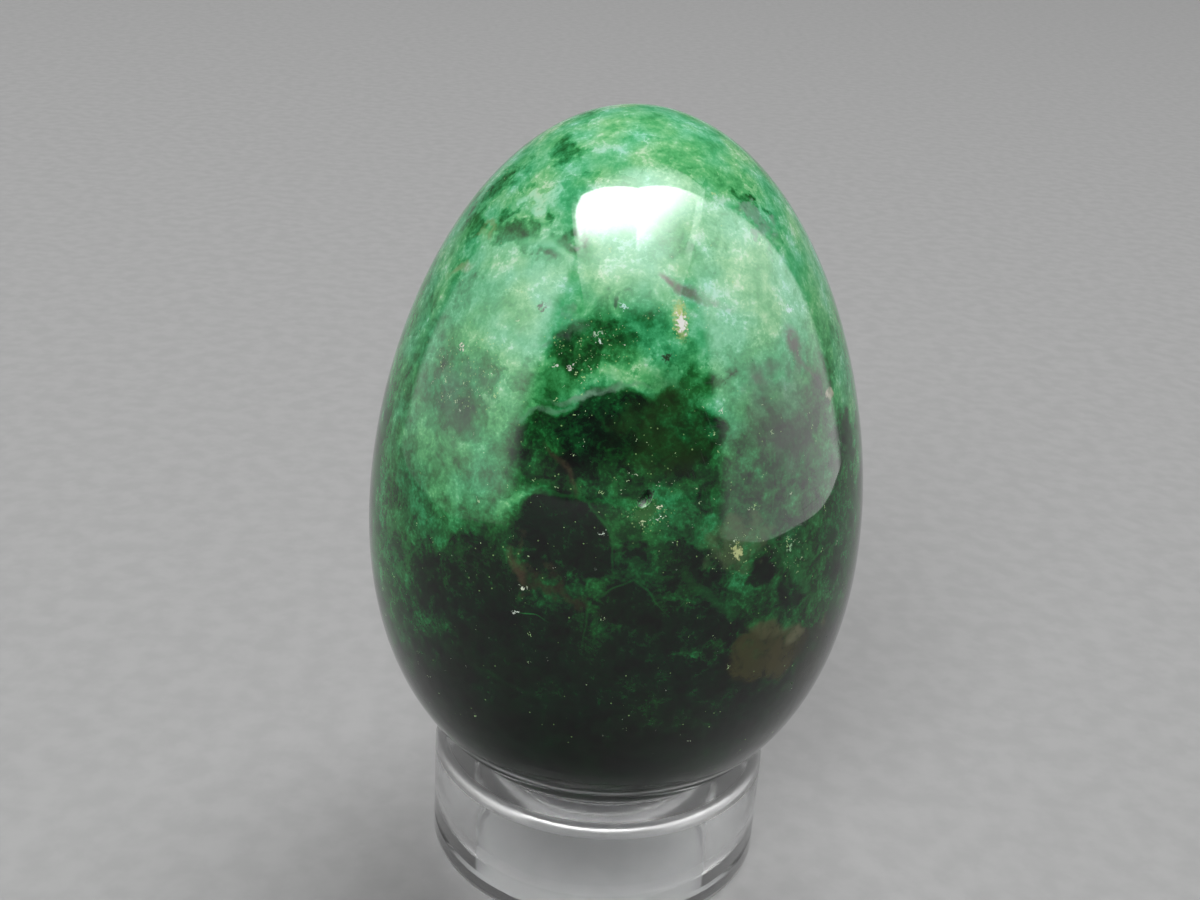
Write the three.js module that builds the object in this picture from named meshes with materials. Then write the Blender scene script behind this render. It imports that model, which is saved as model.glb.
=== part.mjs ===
// A polished stone egg that rests, blunt end down, in a clear acrylic ring stand.
// Millimetres, +Z up. The origin is the centre of the ring's foot, on the surface that it stands on.
//
// The ring is a short length of thick-walled tube. Its rim has a conical seat cut at the slope that
// the egg has where it touches, so the egg lies on a narrow band and its blunt end hangs in the bore.
// The two pieces are loose: the egg lifts straight out.

import * as THREE from "three";

// Egg
const EGG_HEIGHT = 51.2;
const EGG_DIAMETER = 35.6;
const EGG_TAPER = 0.155; // how much the pointed end is drawn in and the blunt end is filled out
const EGG_FULLNESS = 0.061; // how much both ends are rounded out beyond a plain ellipse

// Ring stand
const RING_DIAMETER = 25.4;
const RING_HEIGHT = 9.0;
const BORE_DIAMETER = 18.5;
const SEAT_WIDTH = 0.6; // across the conical seat, measured flat
const RIM_ROUND = 0.8; // radius of the polished outer edges, top and bottom
const BORE_CHAMFER = 0.3; // broken edge at the bottom of the bore

// Fit and facets
const SEAT_GAP = 0.1; // between the egg and the middle of its seat, square to both
const TURN_STEPS = 72; // facets round the axis, the same on both pieces so that they lie in line
const EGG_STEPS = 44; // facets from the bottom of the egg to its tip
const ROUND_STEPS = 5; // facets in each polished edge

// The egg's outline at an angle from 0 at the blunt end to PI at the tip, before it is brought to size:
// height above the blunt end and distance from the axis, each as a share.
function plainOutline(angle) {
  const c = Math.cos(angle);
  return {
    height: (1 - c) / 2,
    reach: Math.sin(angle) * (1 + EGG_TAPER * c + EGG_FULLNESS * c * c),
  };
}

// The angle at which a rising function of the angle reaches a value, found by halving.
function angleWhere(valueAt, value, low, high) {
  const HALVINGS = 60;
  for (let i = 0; i < HALVINGS; i++) {
    const middle = (low + high) / 2;
    if (valueAt(middle) < value) low = middle;
    else high = middle;
  }
  return (low + high) / 2;
}

// The slope of the outline's reach, by which its widest place is found.
function reachSlope(angle) {
  const STEP = 1e-4;
  return (plainOutline(angle + STEP).reach - plainOutline(angle - STEP).reach) / (2 * STEP);
}

const widestAngle = angleWhere((angle) => -reachSlope(angle), 0, Math.PI / 4, (3 * Math.PI) / 4);
const widestReach = plainOutline(widestAngle).reach;

// A point of the egg's outline in millimetres, with the blunt end at height 0.
function eggOutline(angle) {
  const { height, reach } = plainOutline(angle);
  return {
    radius: (reach / widestReach) * (EGG_DIAMETER / 2),
    height: height * EGG_HEIGHT,
  };
}

// Where the egg touches the middle of the seat, and how steeply it rises there.
function seatContact() {
  const STEP = 1e-4;
  const radius = BORE_DIAMETER / 2 + SEAT_WIDTH / 2;
  const angle = angleWhere((a) => eggOutline(a).radius, radius, 0, widestAngle);
  const below = eggOutline(angle - STEP);
  const above = eggOutline(angle + STEP);
  return {
    height: eggOutline(angle).height,
    slope: (above.height - below.height) / (above.radius - below.radius),
  };
}

const contact = seatContact();
const seatDepth = SEAT_WIDTH * contact.slope;
const gapUpwards = SEAT_GAP * Math.hypot(1, contact.slope);
const eggBottom = RING_HEIGHT - seatDepth / 2 - contact.height + gapUpwards;

// A quarter-round edge about a centre, from one angle to another, in the plane of the profile.
function roundedEdge(x, y, fromAngle, toAngle) {
  const points = [];
  for (let i = 0; i <= ROUND_STEPS; i++) {
    const angle = fromAngle + ((toAngle - fromAngle) * i) / ROUND_STEPS;
    points.push(new THREE.Vector2(x + RIM_ROUND * Math.cos(angle), y + RIM_ROUND * Math.sin(angle)));
  }
  return points;
}

// A profile turned about the axis, with the axis stood upright.
function turned(profile) {
  return new THREE.LatheGeometry(profile, TURN_STEPS).rotateX(Math.PI / 2);
}

function eggGeometry() {
  const profile = [];
  for (let i = 0; i <= EGG_STEPS; i++) {
    const { radius, height } = eggOutline((Math.PI * i) / EGG_STEPS);
    const onAxis = i === 0 || i === EGG_STEPS;
    profile.push(new THREE.Vector2(onAxis ? 0 : radius, height));
  }
  return turned(profile);
}

function ringGeometry() {
  const outer = RING_DIAMETER / 2;
  const bore = BORE_DIAMETER / 2;
  const roundAt = outer - RIM_ROUND;
  const profile = [
    new THREE.Vector2(bore + BORE_CHAMFER, 0),
    ...roundedEdge(roundAt, RIM_ROUND, -Math.PI / 2, 0),
    ...roundedEdge(roundAt, RING_HEIGHT - RIM_ROUND, 0, Math.PI / 2),
    new THREE.Vector2(bore + SEAT_WIDTH, RING_HEIGHT),
    new THREE.Vector2(bore, RING_HEIGHT - seatDepth),
    new THREE.Vector2(bore, BORE_CHAMFER),
  ];
  profile.push(profile[0].clone());
  return turned(profile);
}

const polishedStone = new THREE.MeshStandardMaterial({
  color: 0x2f7a4a,
  roughness: 0.12,
  metalness: 0,
});
const clearAcrylic = new THREE.MeshStandardMaterial({
  color: 0xeef2f3,
  roughness: 0.06,
  metalness: 0,
  transparent: true,
  opacity: 0.35,
});

const ringStand = new THREE.Mesh(ringGeometry(), clearAcrylic);
ringStand.name = "ring_stand";

const stoneEgg = new THREE.Mesh(eggGeometry(), polishedStone);
stoneEgg.name = "stone_egg";
stoneEgg.position.z = eggBottom;

const eggOnStand = new THREE.Group();
eggOnStand.add(ringStand, stoneEgg);

export default eggOnStand;
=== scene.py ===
"""A polished green stone egg in a clear acrylic ring stand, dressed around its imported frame.

Every length is in metres, +Z is up, and the object's foot stands on Z = 0. The camera looks along +Y.
A place on the egg is given as a person would point at it: how far round from the front, to the right,
and how high above the floor.
"""

import logging
import math
from dataclasses import dataclass, field
from enum import Enum
from typing import Callable, Optional, Sequence, Union

import bpy
from mathutils import Euler, Matrix, Vector


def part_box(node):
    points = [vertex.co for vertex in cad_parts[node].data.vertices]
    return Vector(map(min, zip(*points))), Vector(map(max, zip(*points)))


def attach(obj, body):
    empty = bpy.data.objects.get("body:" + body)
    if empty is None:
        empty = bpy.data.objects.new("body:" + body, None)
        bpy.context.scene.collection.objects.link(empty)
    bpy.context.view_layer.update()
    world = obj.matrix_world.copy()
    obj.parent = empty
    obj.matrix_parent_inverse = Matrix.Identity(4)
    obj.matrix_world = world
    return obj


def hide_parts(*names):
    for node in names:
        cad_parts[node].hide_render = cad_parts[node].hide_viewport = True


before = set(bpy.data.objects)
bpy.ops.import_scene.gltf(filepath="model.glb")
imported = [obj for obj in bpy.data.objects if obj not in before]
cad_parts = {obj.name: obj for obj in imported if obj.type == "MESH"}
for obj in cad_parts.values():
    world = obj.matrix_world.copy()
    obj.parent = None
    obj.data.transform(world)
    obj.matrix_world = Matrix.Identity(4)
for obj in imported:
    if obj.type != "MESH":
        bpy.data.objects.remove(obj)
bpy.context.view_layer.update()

LOG = logging.getLogger("egg_on_ring")
MM = 0.001
VECTOR, NUMBER = "NodeSocketVector", "NodeSocketFloat"
HALVINGS = 60  # enough to narrow a value down to its last digits
NUDGE = 1e-4  # a small step of an angle, in radians
PIT_ROUND, PIT_LEVEL = 5.5, 36.8  # the pit: degrees to the right of the front, millimetres up

Colour = tuple[float, float, float]
Socket = bpy.types.NodeSocket
Feed = Union[float, Sequence[float], Socket]


class Body(Enum):
    """The bodies that the pieces ride on."""

    STAND = "stand"
    EGG = "egg"


class Slot(Enum):
    """The record's material slots."""

    STONE = "polished_stone"
    ACRYLIC = "clear_acrylic"


class NodeSheet:
    """A shader tree in the making, with short ways to add and join nodes."""

    def __init__(self, tree: bpy.types.NodeTree) -> None:
        """Takes the tree over, empty.

        Args:
            tree: The node tree to fill.
        """
        self.tree = tree
        tree.nodes.clear()

    def add(self, kind: str, **settings: object) -> bpy.types.Node:
        """Adds one node.

        Args:
            kind: The node's type name.
            settings: Attributes to set on it.

        Returns:
            The new node.
        """
        node = self.tree.nodes.new(kind)
        for name, value in settings.items():
            setattr(node, name, value)
        return node

    def feed(self, target: Socket, value: Feed) -> None:
        """Sets a socket to a number or colour, or links another socket to it.

        Args:
            target: The input socket.
            value: A number, a tuple or an output socket.
        """
        if isinstance(value, bpy.types.NodeSocket):
            self.tree.links.new(value, target)
        elif isinstance(value, (int, float)) or len(value) == len(target.default_value):
            target.default_value = value
        else:
            target.default_value = (*value, 1.0)

    def end(self, kind: str, surface: bpy.types.Node) -> None:
        """Ends the sheet in an output node of a kind, with a shader node's result as its surface."""
        self.feed(self.add(kind).inputs["Surface"], surface.outputs[0])

    def math(self, operation: str, a: Feed, b: Feed = 0.0, clamp: bool = False) -> Socket:
        """A Math node of two values.

        Args:
            operation: Its operation, such as MULTIPLY.
            a: The first value.
            b: The second value.
            clamp: Whether the result is kept between 0 and 1.

        Returns:
            Its result.
        """
        node = self.add("ShaderNodeMath", operation=operation, use_clamp=clamp)
        self.feed(node.inputs[0], a)
        self.feed(node.inputs[1], b)
        return node.outputs[0]

    def vector(self, operation: str, a: Feed, b: Feed = (0.0, 0.0, 0.0)) -> Socket:
        """A Vector Math node of two vectors.

        Args:
            operation: Its operation, such as ADD or LENGTH.
            a: The first vector.
            b: The second vector.

        Returns:
            Its result, a value for LENGTH and DOT_PRODUCT.
        """
        node = self.add("ShaderNodeVectorMath", operation=operation)
        self.feed(node.inputs[0], a)
        self.feed(node.inputs[1], b)
        return node.outputs["Value" if operation in ("LENGTH", "DOT_PRODUCT") else "Vector"]

    def ease(self, value: Feed, low: Feed, high: Feed, start: Feed = 0.0, end: Feed = 1.0) -> Socket:
        """A smooth step from start to end as a value goes from low to high.

        Args:
            value: The value that drives it.
            low: Where the step begins.
            high: Where it ends.
            start: The result below low.
            end: The result above high.

        Returns:
            The eased value.
        """
        node = self.add("ShaderNodeMapRange", interpolation_type="SMOOTHSTEP")
        for name, number in zip(("Value", "From Min", "From Max", "To Min", "To Max"),
                                (value, low, high, start, end)):
            self.feed(node.inputs[name], number)
        return node.outputs["Result"]

    def mix(self, share: Feed, a: Feed, b: Feed, colour: bool = True, way: str = "MIX") -> Socket:
        """Mixes two colours, or two values.

        Args:
            share: How much of b there is.
            a: The first colour or value.
            b: The second colour or value.
            colour: False to mix values.
            way: MIX, or another way of laying one colour over the other.

        Returns:
            The mixture.
        """
        node = self.add("ShaderNodeMix", data_type="RGBA" if colour else "FLOAT", blend_type=way)
        first, second = ("A_Color", "B_Color") if colour else ("A_Float", "B_Float")
        sockets = {socket.identifier: socket for socket in node.inputs}
        self.feed(sockets["Factor_Float"], share)
        self.feed(sockets[first], a)
        self.feed(sockets[second], b)
        wanted = "Result_Color" if colour else "Result_Float"
        return next(socket for socket in node.outputs if socket.identifier == wanted)

    def noise(self, place: Socket, scale: float, detail: float = 2.0, rough: float = 0.5,
              output: str = "Fac") -> Socket:
        """Cloudy noise.

        Args:
            place: Where it is read.
            scale: How many clouds there are in each unit of the place.
            detail: How many finer layers it has.
            rough: How strong the finer layers are.
            output: Fac or Color.

        Returns:
            The noise.
        """
        node = self.add("ShaderNodeTexNoise")
        self.feed(node.inputs["Vector"], place)
        self.feed(node.inputs["Scale"], scale)
        self.feed(node.inputs["Detail"], detail)
        self.feed(node.inputs["Roughness"], rough)
        return node.outputs[output]

    def cells(self, place: Socket, scale: Feed, feature: str = "F1") -> bpy.types.Node:
        """Crystal cells.

        Args:
            place: Where they are read.
            scale: How many cells there are in each unit of the place.
            feature: F1 or DISTANCE_TO_EDGE.

        Returns:
            The Voronoi node.
        """
        node = self.add("ShaderNodeTexVoronoi", feature=feature)
        self.feed(node.inputs["Vector"], place)
        self.feed(node.inputs["Scale"], scale)
        return node

    def ramp(self, value: Socket, stops: Sequence[tuple[float, Colour]]) -> Socket:
        """Turns a value into a colour.

        Args:
            value: The value, 0 to 1.
            stops: Each stop's place and colour, in order.

        Returns:
            The colour.
        """
        node = self.add("ShaderNodeValToRGB")
        elements = node.color_ramp.elements
        while len(elements) < len(stops):
            elements.new(0.5)
        for element, (place, colour) in zip(elements, stops):
            element.position = place
            element.color = (*colour, 1.0)
        self.feed(node.inputs["Fac"], value)
        return node.outputs["Color"]

    def split(self, vector: Socket) -> tuple[Socket, Socket, Socket]:
        """Takes a vector apart into its three values."""
        node = self.add("ShaderNodeSeparateXYZ")
        self.feed(node.inputs[0], vector)
        return node.outputs[0], node.outputs[1], node.outputs[2]

    def join(self, x: Feed, y: Feed, z: Feed) -> Socket:
        """Makes a vector of three values."""
        node = self.add("ShaderNodeCombineXYZ")
        for target, value in zip(node.inputs, (x, y, z)):
            self.feed(target, value)
        return node.outputs[0]

    def channels(self, colour: Socket) -> tuple[Socket, Socket, Socket]:
        """Takes a colour apart into its red, green and blue."""
        node = self.add("ShaderNodeSeparateColor")
        self.feed(node.inputs[0], colour)
        return node.outputs[0], node.outputs[1], node.outputs[2]

    def group(self, tree: bpy.types.NodeTree, **values: Feed) -> bpy.types.Node:
        """Places a shared node group.

        Args:
            tree: The group.
            values: What goes into its inputs, with _ for a space in a name.

        Returns:
            The group node.
        """
        node = self.add("ShaderNodeGroup", node_tree=tree)
        for name, value in values.items():
            self.feed(node.inputs[name.replace("_", " ")], value)
        return node


class Effects:
    """The shared node groups, each built once."""

    def __init__(self) -> None:
        """Builds every group."""
        self.spot = self._spot()
        self.specks = self._specks()
        self.scuffs = self._scuffs()

    @staticmethod
    def _new(name: str, inputs: Sequence[tuple[str, str, object]],
             outputs: Sequence[tuple[str, str]]) -> tuple[NodeSheet, dict[str, Socket], bpy.types.Node]:
        """Starts a group.

        Args:
            name: The group's name.
            inputs: Each input's name, socket type and default.
            outputs: Each output's name and socket type.

        Returns:
            Its sheet, its inputs by name, and its output node.
        """
        tree = bpy.data.node_groups.new(name, "ShaderNodeTree")
        for title, kind, default in inputs:
            socket = tree.interface.new_socket(title, in_out="INPUT", socket_type=kind)
            socket.default_value = default
        for title, kind in outputs:
            tree.interface.new_socket(title, in_out="OUTPUT", socket_type=kind)
        sheet = NodeSheet(tree)
        entry = sheet.add("NodeGroupInput")
        given = {socket.name: socket for socket in entry.outputs if socket.name}
        return sheet, given, sheet.add("NodeGroupOutput")

    def _spot(self) -> bpy.types.NodeTree:
        """A soft-edged ellipsoid, for anything that lies at one place in a material."""
        sheet, given, out = self._new(
            "placed_spot",
            [("Place", VECTOR, (0, 0, 0)), ("Centre", VECTOR, (0, 0, 0)), ("Along", VECTOR, (1, 0, 0)),
             ("Across", VECTOR, (0, 1, 0)), ("Outwards", VECTOR, (0, 0, 1)), ("Softness", NUMBER, 0.3),
             ("Rim", NUMBER, 0.1)],
            [("Mask", NUMBER), ("Edge", NUMBER)])
        away = sheet.vector("SUBTRACT", given["Place"], given["Centre"])
        shares = [sheet.vector("DOT_PRODUCT", away, given[axis]) for axis in ("Along", "Across", "Outwards")]
        reach = sheet.vector("LENGTH", sheet.join(*shares))
        inner = sheet.math("SUBTRACT", 1.0, given["Softness"])
        outer = sheet.math("ADD", 1.0, given["Softness"])
        sheet.feed(out.inputs["Mask"], sheet.ease(reach, inner, outer, 1.0, 0.0))
        from_edge = sheet.math("ABSOLUTE", sheet.math("SUBTRACT", reach, 1.0))
        sheet.feed(out.inputs["Edge"], sheet.ease(from_edge, 0.0, given["Rim"], 1.0, 0.0))
        return sheet.tree

    def _specks(self) -> bpy.types.NodeTree:
        """Scattered specks, for painted glints and pits in stone and for dust on a surface."""
        sheet, given, out = self._new(
            "scattered_specks",
            [("Place", VECTOR, (0, 0, 0)), ("Scale", NUMBER, 1.0), ("Amount", NUMBER, 0.1),
             ("Size", NUMBER, 0.1)],
            [("Mask", NUMBER), ("Chance", NUMBER)])
        cell = sheet.cells(given["Place"], given["Scale"])
        chance, size, _ = sheet.channels(cell.outputs["Color"])
        radius = sheet.math("MULTIPLY", given["Size"], sheet.math("ADD", size, 0.35))
        near = sheet.ease(cell.outputs["Distance"], sheet.math("MULTIPLY", radius, 0.6), radius, 1.0, 0.0)
        present = sheet.math("LESS_THAN", chance, given["Amount"])
        sheet.feed(out.inputs["Mask"], sheet.math("MULTIPLY", near, present))
        sheet.feed(out.inputs["Chance"], size)
        return sheet.tree

    def _scuffs(self) -> bpy.types.NodeTree:
        """Hairline scratches that run two ways, with bare stretches between them."""
        sheet, given, out = self._new(
            "hairline_scratches",
            [("Place", VECTOR, (0, 0, 0)), ("Length", NUMBER, 6.0), ("Width", NUMBER, 0.02)],
            [("Mask", NUMBER)])
        marks: Optional[Socket] = None
        for turn in ((0.3, 0.5, 0.9), (1.4, 2.2, 0.2)):
            turned = sheet.add("ShaderNodeMapping")
            turned.inputs["Rotation"].default_value = turn
            sheet.feed(turned.inputs["Vector"], given["Place"])
            across = sheet.math("DIVIDE", 1.0, given["Length"])
            drawn = sheet.vector("MULTIPLY", turned.outputs[0], sheet.join(across, 1.6, across))
            ripple = sheet.noise(drawn, 1.0, 0.0)
            away = sheet.math("ABSOLUTE", sheet.math("SUBTRACT", ripple, 0.5))
            line = sheet.ease(away, 0.0, given["Width"], 1.0, 0.0)
            marks = line if marks is None else sheet.math("MAXIMUM", marks, line)
        patchy = sheet.ease(sheet.noise(given["Place"], 0.35, 1.0), 0.5, 0.62)
        sheet.feed(out.inputs["Mask"], sheet.math("MULTIPLY", marks, patchy))
        return sheet.tree


def new_finish(name: str, centre: Vector) -> tuple[bpy.types.Material, NodeSheet, Socket]:
    """Starts a finish whose pattern lies on its piece.

    Args:
        name: The material's name.
        centre: Where the pattern is measured from, in metres.

    Returns:
        The material, its sheet, and the place on the piece in millimetres from the centre.
    """
    material = bpy.data.materials.new(name)
    material.use_nodes = True
    sheet = NodeSheet(material.node_tree)
    mapping = sheet.add("ShaderNodeMapping")
    sheet.feed(mapping.inputs["Vector"], sheet.add("ShaderNodeTexCoord").outputs["Object"])
    mapping.inputs["Scale"].default_value = (1 / MM,) * 3
    mapping.inputs["Location"].default_value = -centre / MM
    return material, sheet, mapping.outputs[0]


@dataclass(frozen=True)
class EggOutline:
    """The egg's outline, the same formula that the solid was turned from.

    Attributes:
        height: From the blunt end to the tip.
        diameter: At the widest place.
        bottom: The blunt end's height above the floor.
        taper: How much the tip is drawn in and the blunt end filled out.
        fullness: How much both ends are rounder than a plain ellipse.
    """

    height: float
    diameter: float
    bottom: float
    taper: float = 0.155
    fullness: float = 0.061

    def plain_reach(self, angle: float) -> float:
        """Distance from the axis before it is brought to size, at an angle from 0 at the blunt end."""
        c = math.cos(angle)
        return math.sin(angle) * (1 + self.taper * c + self.fullness * c * c)

    def widest(self) -> float:
        """The plain reach at the widest place, found by narrowing in on it."""
        low, high = math.pi / 4, 3 * math.pi / 4
        for _ in range(HALVINGS):
            a, b = low + (high - low) / 3, high - (high - low) / 3
            if self.plain_reach(a) < self.plain_reach(b):
                low = a
            else:
                high = b
        return self.plain_reach((low + high) / 2)

    def at(self, angle: float) -> tuple[float, float]:
        """Distance from the axis and height above the floor, at an angle from 0 at the blunt end."""
        reach = self.plain_reach(angle) / self.widest() * self.diameter / 2
        return reach, self.bottom + self.height * (1 - math.cos(angle)) / 2

    def angle_at(self, height: float) -> float:
        """The outline's angle at a height above the floor."""
        share = (height - self.bottom) / self.height
        return math.acos(1 - 2 * min(max(share, 0.0), 1.0))

    def frame_at(self, round_from_front: float, height: float) -> Matrix:
        """A frame that lies on the egg's surface.

        Args:
            round_from_front: How far to the right of the front, in degrees.
            height: Above the floor.

        Returns:
            A matrix with X to the right, Y up the surface and Z out of it.
        """
        angle = self.angle_at(height)
        (r0, z0), (r1, z1) = self.at(angle - NUDGE), self.at(angle + NUDGE)
        radius, level = self.at(angle)
        azimuth = math.radians(round_from_front)
        outward = Vector((math.sin(azimuth), -math.cos(azimuth), 0))
        right = Vector((math.cos(azimuth), math.sin(azimuth), 0))
        up = (outward * (r1 - r0) + Vector((0, 0, z1 - z0))).normalized()
        out = right.cross(up)
        place = outward * radius + Vector((0, 0, level))
        return Matrix.Translation(place) @ Matrix((right, up, out)).transposed().to_4x4()


@dataclass(frozen=True)
class Spot:
    """Something in the stone at one place on its surface.

    Attributes:
        round_from_front: How far to the right of the front, in degrees.
        height: Above the floor, in millimetres.
        half_width: Along its own length, in millimetres.
        half_height: Across it, in millimetres.
        turn: How far it leans, anticlockwise, in degrees.
        tone: How light the stone is in it, 0 for black green and 1 for pale mint.
        strength: How much of it shows.
        softness: How wide its edge is, as a share of its size.
        rim: How much of a pale line runs round it.
    """

    round_from_front: float
    height: float
    half_width: float
    half_height: float
    turn: float = 0.0
    tone: float = 0.5
    strength: float = 1.0
    softness: float = 0.3
    rim: float = 0.0


@dataclass(frozen=True)
class Inclusion:
    """A mineral of another colour in the stone, or a painted glint or painted shade placed in the same way.

    Attributes:
        round_from_front: How far to the right of the front, in degrees.
        height: Above the floor, in millimetres.
        half_width: Along its own length, in millimetres.
        half_height: Across it, in millimetres.
        turn: How far it leans, anticlockwise, in degrees.
        strength: How much of it shows.
        softness: How wide its edge is, as a share of its size.
        colour: Its colour.
    """

    round_from_front: float
    height: float
    half_width: float
    half_height: float
    turn: float
    strength: float
    softness: float
    colour: Colour

    @property
    def spot(self) -> Spot:
        """Its place, shape and edge."""
        return Spot(self.round_from_front, self.height, self.half_width, self.half_height, self.turn,
                    strength=self.strength, softness=self.softness)


@dataclass(frozen=True)
class Drift:
    """How cloudy noise moves a place about.

    Attributes:
        scale: How many clouds there are in a millimetre.
        reach: How far they move it, in millimetres.
        detail: How many finer layers they have.
    """

    scale: float
    reach: float
    detail: float = 2.0


class StonePattern:
    """The stone's material in the making: its sheet, and the places at which its parts are read."""

    drift_roughness: float = 0.55
    cloud_roughness: float = 0.58

    def __init__(self, stone: "PolishedStone", effects: Effects, outline: EggOutline) -> None:
        """Starts the material and finds the places.

        Args:
            stone: The stone.
            effects: The shared node groups.
            outline: The egg's outline, on which the spots are placed.
        """
        self.effects = effects
        self.outline = outline
        self.centre = Vector((0, 0, outline.bottom + outline.height / 2))
        self.material, self.sheet, self.plain = new_finish("polished_green_stone", self.centre)
        self.cloudy = self.drifted(stone.cloud_drifts)
        self.frayed = self.drifted(stone.crystal_drifts)
        self.gentle = self.drifted(stone.vein_drifts)
        self.crystals = self.sheet.cells(self.cloudy, stone.crystal_scale)
        self.grains = self.sheet.cells(self.frayed, stone.grain_scale)
        self.seams = self.sheet.cells(self.cloudy, stone.crystal_scale, "DISTANCE_TO_EDGE")

    def drifted(self, drifts: Sequence[Drift]) -> Socket:
        """The place on the egg, moved about by one drift after another.

        Args:
            drifts: The drifts.

        Returns:
            Where they take it.
        """
        sheet, place = self.sheet, self.plain
        for drift in drifts:
            cloud = sheet.noise(self.plain, drift.scale, drift.detail, self.drift_roughness, "Color")
            off = sheet.vector("SUBTRACT", cloud, (0.5,) * 3)
            place = sheet.vector("ADD", place, sheet.vector("MULTIPLY", off, (drift.reach,) * 3))
        return place

    def uneven(self, place: Socket, scale: float, detail: float = 2.0) -> Socket:
        """Cloudy noise about zero.

        Args:
            place: Where it is read.
            scale: How many clouds there are in a millimetre.
            detail: How many finer layers it has.

        Returns:
            The noise.
        """
        return self.sheet.math("SUBTRACT", self.sheet.noise(place, scale, detail, self.cloud_roughness), 0.5)

    def placed(self, spot: Spot, place: Socket) -> bpy.types.Node:
        """Places a spot's mask on the egg's surface.

        Args:
            spot: The spot.
            place: Where it is read.

        Returns:
            The group node, with its mask and edge.
        """
        local = self.outline.frame_at(spot.round_from_front, spot.height * MM)
        local = local @ Matrix.Rotation(math.radians(spot.turn), 4, "Z")
        along, across, outwards = local.to_3x3().col
        return self.sheet.group(
            self.effects.spot,
            Place=place,
            Centre=tuple((local.translation - self.centre) / MM),
            Along=tuple(along / spot.half_width),
            Across=tuple(across / spot.half_height),
            Outwards=tuple(outwards / max(spot.half_width, spot.half_height)),
            Softness=spot.softness,
        )

    def mask_of(self, spot: Spot, place: Socket) -> Socket:
        """How much of a spot shows, read at a place."""
        return self.sheet.math("MULTIPLY", self.placed(spot, place).outputs["Mask"], spot.strength)


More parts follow.
